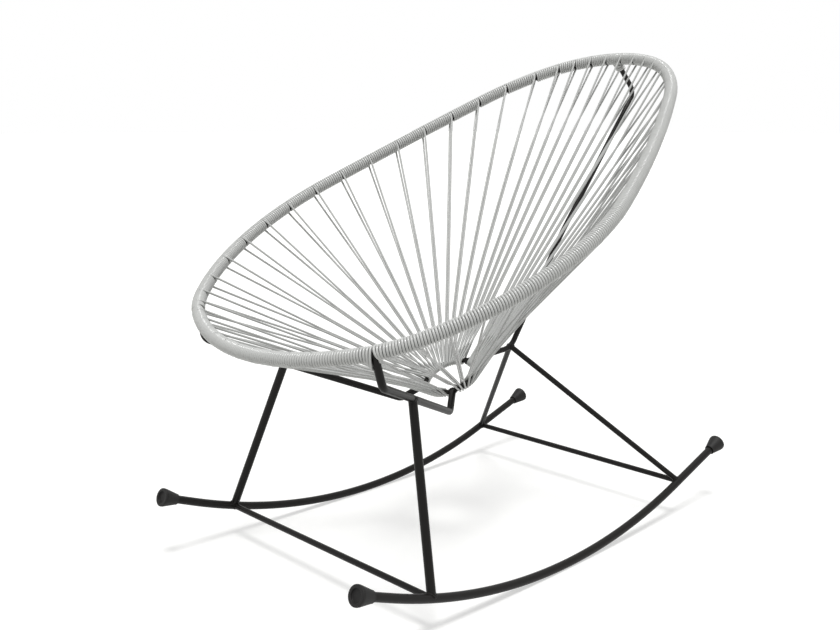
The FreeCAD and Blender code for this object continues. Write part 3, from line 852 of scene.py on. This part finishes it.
# %% The path of the winding and what it carries
WINDING_SIZES = {"Wound radius": "NodeSocketFloat", "Spacing": "NodeSocketFloat", **ROD_SIZES}
winding_tree, given, result = new_tree("cord_wound_on_a_path", WINDING_SIZES)
path = add_node(
    winding_tree, "GeometryNodeMeshToCurve", inputs={"Mesh": given.outputs["Geometry"]}
)
fine = add_node(
    winding_tree,
    "GeometryNodeResampleCurve",
    {"mode": "LENGTH"},
    {"Curve": path.outputs["Curve"], "Length": given.outputs["Spacing"]},
)
carried = {}
for label, kind in (("turns", "FLOAT"), ("outward", "FLOAT_VECTOR"), ("dip", "FLOAT_VECTOR")):
    carried[label] = add_node(
        winding_tree, "GeometryNodeInputNamedAttribute", {"data_type": kind}, {"Name": label}
    ).outputs["Attribute"]
print("the path carries", ", ".join(carried))

# %% The winding tree
tangent = add_node(winding_tree, "GeometryNodeInputTangent")
upward = add_node(
    winding_tree,
    "ShaderNodeVectorMath",
    {"operation": "CROSS_PRODUCT"},
    {0: carried["outward"], 1: tangent.outputs["Tangent"]},
)
angle = add_node(
    winding_tree,
    "ShaderNodeMath",
    {"operation": "MULTIPLY"},
    {0: carried["turns"], 1: 2 * math.pi},
)
cosine, sine = [
    add_node(winding_tree, "ShaderNodeMath", {"operation": operation}, {0: angle.outputs[0]})
    for operation in ("COSINE", "SINE")
]
parts = [
    add_node(
        winding_tree,
        "ShaderNodeVectorMath",
        {"operation": "SCALE"},
        {0: direction, "Scale": share.outputs[0]},
    )
    for direction, share in ((carried["outward"], cosine), (upward.outputs[0], sine))
]
out = add_node(
    winding_tree,
    "ShaderNodeVectorMath",
    {"operation": "ADD"},
    {0: parts[0].outputs[0], 1: parts[1].outputs[0]},
)
unit = add_node(
    winding_tree, "ShaderNodeVectorMath", {"operation": "NORMALIZE"}, {0: out.outputs[0]}
)
moved = add_node(
    winding_tree,
    "ShaderNodeVectorMath",
    {"operation": "SCALE"},
    {0: unit.outputs[0], "Scale": given.outputs["Wound radius"]},
)
# The dip is nothing at the top of a turn and whole at its bottom.
hanging = add_node(
    winding_tree,
    "ShaderNodeMath",
    {"operation": "MULTIPLY_ADD"},
    {0: sine.outputs[0], 1: -0.5, 2: 0.5},
)
dipped = add_node(
    winding_tree,
    "ShaderNodeVectorMath",
    {"operation": "SCALE"},
    {0: carried["dip"], "Scale": hanging.outputs[0]},
)
offset = add_node(
    winding_tree,
    "ShaderNodeVectorMath",
    {"operation": "ADD"},
    {0: moved.outputs[0], 1: dipped.outputs[0]},
)
helix = add_node(
    winding_tree,
    "GeometryNodeSetPosition",
    inputs={"Geometry": fine.outputs["Curve"], "Offset": offset.outputs[0]},
)
painted = swept(winding_tree, given, helix.outputs["Geometry"], 1.0)
winding_tree.links.new(painted.outputs["Geometry"], result.inputs["Geometry"])
print(len(winding_tree.nodes), "nodes in the winding tree")

# %% Turns pulled down beside the stays
# How near to a stay the turns are pulled, how far they part there, and how far they dip.
PULLED, PARTING, DIP = 18, 8, 20
stay_down = (elbow - stay_top).normalized()


def pull_beside_stay(distance):
    """How far the lower side of a turn is pulled aside and down near a stay."""
    share = max(1 - abs(abs(distance) - STAY_PLACE) / PULLED, 0) ** 2
    along, down = rim_at(distance)[1], stay_down
    if distance < 0:
        along, down = along * -1, mirrored([stay_down])[0]
    if abs(distance) > STAY_PLACE:
        return along * (PARTING * share)
    return down * (DIP * share) - along * (PARTING * share)


print("the nearest turn is pulled by", round(pull_beside_stay(STAY_PLACE).length, 1), "mm")

# %% The winding, in three lengths between the welds
# The wound cord is drawn a little thinner than its spacing, so that each turn shows.
WOUND_CORD, POINTS_PER_TURN = 4.0, 16
SPINE_ROOM = 5.3
# The part of a turn that is inside the hoop, and that over which a run lifts off the winding.
INSIDE, EASE = 0.5, 0.1
pitch_before, pitch_after = {}, {}


def winding(name, first, last, node):
    """Winds the hoop between two places, open where the runs leave, and counts the turns."""
    stops = [first] + [stop for stop in nodes if first < stop < last] + [last]
    points, edges, turns, outwards, dips = [], [], [], [], []
    wound = 0
    for start, stop in zip(stops, stops[1:]):
        count = max(round((stop - start) / CORD), 1)
        pitch = (stop - start) / count
        pitch_after[start], pitch_before[stop] = pitch, pitch
        begin = hairpins[start]["joining"] + EASE if start != first else INSIDE
        end = count + (hairpins[stop]["leaving"] - EASE if stop != last else INSIDE)
        wound += end - begin
        samples = 2 * count + 2
        for number in range(samples + 1):
            turn = begin + (end - begin) * number / samples
            distance = start + (turn - INSIDE) * pitch
            centre, along, outward, upward = rim_at(distance)
            if number:
                edges.append((len(points) - 1, len(points)))
            points.append(centre / 1000)
            turns.append(turn)
            outwards += list(outward)
            dips += list(pull_beside_stay(distance) / 1000)
    mesh = bpy.data.meshes.new(name)
    mesh.from_pydata(points, edges, [])
    carry(mesh, "turns", turns)
    carry(mesh, "outward", outwards, "FLOAT_VECTOR")
    carry(mesh, "dip", dips, "FLOAT_VECTOR")
    sizes = {
        "Wound radius": RIM_OFFSET / 1000,
        "Spacing": CORD / POINTS_PER_TURN / 1000,
        "Radius": WOUND_CORD / 2000,
        "Sides": 8,
        "Material": wound_pvc,
    }
    dress(grown(name, mesh, winding_tree, sizes), "wound_cord", node)
    return wound


wound_turns = winding("lip_winding", -STAY_PLACE, STAY_PLACE, "front_winding")
head_end = half_length - SPINE_ROOM
wound_turns += winding("left_side_winding", STAY_PLACE, head_end, "left_winding")
wound_turns += winding("right_side_winding", -head_end, -STAY_PLACE, "right_winding")
print(round(wound_turns), "turns of cord on the hoop")

# %% [markdown]
# ## The strung basket
# Each upper run leaves the last turn of the winding, draws close to its lower run, wraps the
# inner side of the ring and comes back under the hoop, where the next turn begins. Under
# tension the cord is thinner between hoop and ring, which the girth of its path gives. The
# basket is kept in twelve fans, as in the CAD model, so that a worn fan can be replaced on
# its own.


# %% Points on the winding, and smooth curves
def on_turn(distance, turn):
    """A point of the wound cord and its direction, at a part of a turn."""
    centre, along, outward, upward = rim_at(distance)
    angle = 2 * math.pi * turn
    out = outward * math.cos(angle) + upward * math.sin(angle)
    round_about = upward * math.cos(angle) - outward * math.sin(angle)
    forward = round_about * (2 * math.pi * RIM_OFFSET) + along * CORD
    return centre + out * RIM_OFFSET, forward.normalized()


def eased(start, leaving, end, arriving, count):
    """Points of a smooth curve between two points with given directions."""
    reach = (end - start).length
    points = []
    for number in range(count + 1):
        share = number / count
        squared, cubed = share**2, share**3
        points.append(
            start * (2 * cubed - 3 * squared + 1)
            + leaving * (reach * (cubed - 2 * squared + share))
            + end * (3 * squared - 2 * cubed)
            + arriving * (reach * (cubed - squared))
        )
    return points


# %% The strung basket
# A run eases off the winding over its first millimetres, in a few steps.
LEAD, LEAD_STEPS = 12, 7
STAY_ROOM = 6.3
FANS = ["front", "corner", "side", "flank", "shoulder", "head"]
past_stay = STAY_PLACE + STAY_ROOM
fan_length = (half_length - past_stay) / (len(FANS) - 1)
thicker = WOUND_CORD / STRAND - 1
swell = [1 + thicker * (1 - step / LEAD_STEPS) for step in range(LEAD_STEPS + 1)]
fan_runs = {(side, fan): [] for side in ("left", "right") for fan in FANS}
fan_girths = {key: [] for key in fan_runs}
strung = 0
for node, pin in hairpins.items():
    upper, lower = pin["upper"], pin["lower"]
    upper_along = (upper[1] - upper[0]).normalized()
    lower_along = (lower[0] - lower[1]).normalized()
    leaving, joining = pin["leaving"] - EASE, pin["joining"] + EASE
    leave = on_turn(node + (leaving - INSIDE) * pitch_before[node], leaving)
    join = on_turn(node + (joining - INSIDE) * pitch_after[node], joining)
    first = eased(*leave, upper[0] + upper_along * LEAD, upper_along, LEAD_STEPS)
    last = eased(lower[0] - lower_along * LEAD, lower_along, *join, LEAD_STEPS)
    run = first + upper[1:] + pin["wrap"] + lower[:0:-1] + last
    strung += sum((after - before).length for before, after in zip(run, run[1:]))
    side = "left" if node > 0 else "right"
    fan = FANS[0 if abs(node) < past_stay else 1 + int((abs(node) - past_stay) / fan_length)]
    fan_runs[side, fan].append(run)
    fan_girths[side, fan].append(swell + [1.0] * (len(run) - 2 * len(swell)) + swell[::-1])
for (side, fan), runs in fan_runs.items():
    name = f"{side}_{fan}_cords"
    piece = tube(name, runs, STRAND, 10, stretched_pvc_painted_shade, girths=fan_girths[side, fan])
    dress(piece, "stretched_cord", f"{side}_{fan}_strands")
print(len(nodes), "runs,", round(strung / 1000, 1), "m of stretched cord")

# %% [markdown]
# ## The lashing of the spine
# Where the spine meets the hoop, the cord goes over the hoop, down past the joint and three
# times round the rod below it, which hides the weld. So the lashing is three bridges over the
# hoop and one coil round the rod.

# %% The lashing of the spine
BRIDGE_START, BRIDGE_END, BRIDGE_STEPS = -50, 230, 14
BRIDGE_DRAW, BRIDGE_EASE = 0.7, 5
OUTER_FOOT, INNER_FOOT, FOOT_STEP = 15, 13, 2
COIL_DROP, COIL_PITCH, COIL_TURNS, COIL_STEPS = 14.05, 4.5, 3, 20
centre, along, outward, upward = rim_at(half_length)
down = (nape - rim_top).normalized()
level = (outward - down * outward.dot(down)).normalized()
coil_radius = SPINE_ROD / 2 + CORD_ROOM + CORD / 2
lashing = []
for number in (-1, 0, 1):
    over = []
    for step in range(BRIDGE_STEPS + 1):
        degrees = BRIDGE_START + (BRIDGE_END - BRIDGE_START) * step / BRIDGE_STEPS
        over.append(on_turn(half_length + number * CORD, degrees / 360)[0])
    aside = along * (number * CORD * BRIDGE_DRAW)
    outer = rim_top + down * (OUTER_FOOT + FOOT_STEP * number) + level * coil_radius + aside
    inner = rim_top + down * (INNER_FOOT - FOOT_STEP * number) - level * coil_radius + aside
    setting_out = (over[1] - over[0]).normalized()
    coming_in = (over[-1] - over[-2]).normalized()
    over_start = eased(outer, down * -1, over[0], setting_out, BRIDGE_EASE)
    over_end = eased(over[-1], coming_in, inner, down, BRIDGE_EASE)
    lashing.append(over_start + over[1:-1] + over_end)
aside = down.cross(Vector((0, 0, 1))).normalized()
square = down.cross(aside)
coil = []
for step in range(COIL_STEPS * COIL_TURNS + 1):
    angle = 2 * math.pi * step / COIL_STEPS
    around = aside * math.cos(angle) + square * math.sin(angle)
    drop = COIL_DROP + COIL_PITCH * step / COIL_STEPS
    coil.append(rim_top + down * drop + around * coil_radius)
lashing.append(coil)
lashed = tube("spine_lashing", lashing, WOUND_CORD, 10, wound_pvc)
dress(lashed, "wound_cord", "spine_lashing")

# %% [markdown]
# ## Floor and light
# The chair stands on a plain pale floor under one large soft lamp, with a bright room all
# round. Rays from the camera see the room as white, so the background is clean, while the
# light that reaches the chair stays at a plain level and the floor keeps the soft shadow.


# %% Floor
def seen_directly(tree):
    """1 for rays from the camera and for mirror and glass rays, else 0."""
    light_path = add_node(tree, "ShaderNodeLightPath")
    total = light_path.outputs["Is Camera Ray"]
    for ray in ("Is Glossy Ray", "Is Transmission Ray"):
        total = add_node(
            tree,
            "ShaderNodeMath",
            {"operation": "ADD", "use_clamp": True},
            {0: total, 1: light_path.outputs[ray]},
        ).outputs[0]
    return total


FLOOR_LIFT, FLOOR_HALF = 0.5, 60
floor_finish, tree, shader = new_finish("pale_floor")
shader.inputs["Base Color"].default_value = linear("#c8c8c6")
shader.inputs["Roughness"].default_value = 0.9
shader.inputs["Emission Color"].default_value = linear("#ffffff")
lift = add_node(
    tree, "ShaderNodeMath", {"operation": "MULTIPLY"}, {0: seen_directly(tree), 1: FLOOR_LIFT}
)
tree.links.new(lift.outputs[0], shader.inputs["Emission Strength"])
corners = [
    (x * FLOOR_HALF, y * FLOOR_HALF, 0) for x, y in ((-1, -1), (1, -1), (1, 1), (-1, 1))
]
mesh = bpy.data.meshes.new("floor")
mesh.from_pydata(corners, [], [(0, 1, 2, 3)])
mesh.materials.append(floor_finish)
floor = placed("floor", mesh)
print("floor of", 2 * FLOOR_HALF, "m")

# %% Room light and lamp
ROOM_LIGHT = 0.4
LAMP_DIRECTION = Vector((-0.25, 0.2, -1.3))
world = bpy.data.worlds.new("white_room")
world.use_nodes = True
bpy.context.scene.world = world
tree = world.node_tree
strength = add_node(
    tree,
    "ShaderNodeMapRange",
    inputs={"Value": seen_directly(tree), "To Min": ROOM_LIGHT, "To Max": 1.0},
)
tree.links.new(strength.outputs[0], tree.nodes["Background"].inputs["Strength"])
tree.nodes["Background"].inputs["Color"].default_value = linear("#ffffff")
lamp_data = bpy.data.lights.new("overhead_lamp", "SUN")
lamp_data.energy = 2.6
lamp_data.angle = math.radians(20)
lamp = placed("overhead_lamp", lamp_data)
lamp.rotation_euler = LAMP_DIRECTION.to_track_quat("-Z", "Y").to_euler()
bpy.context.scene.view_settings.view_transform = "Standard"
print("room light", ROOM_LIGHT, "and lamp", lamp_data.energy)
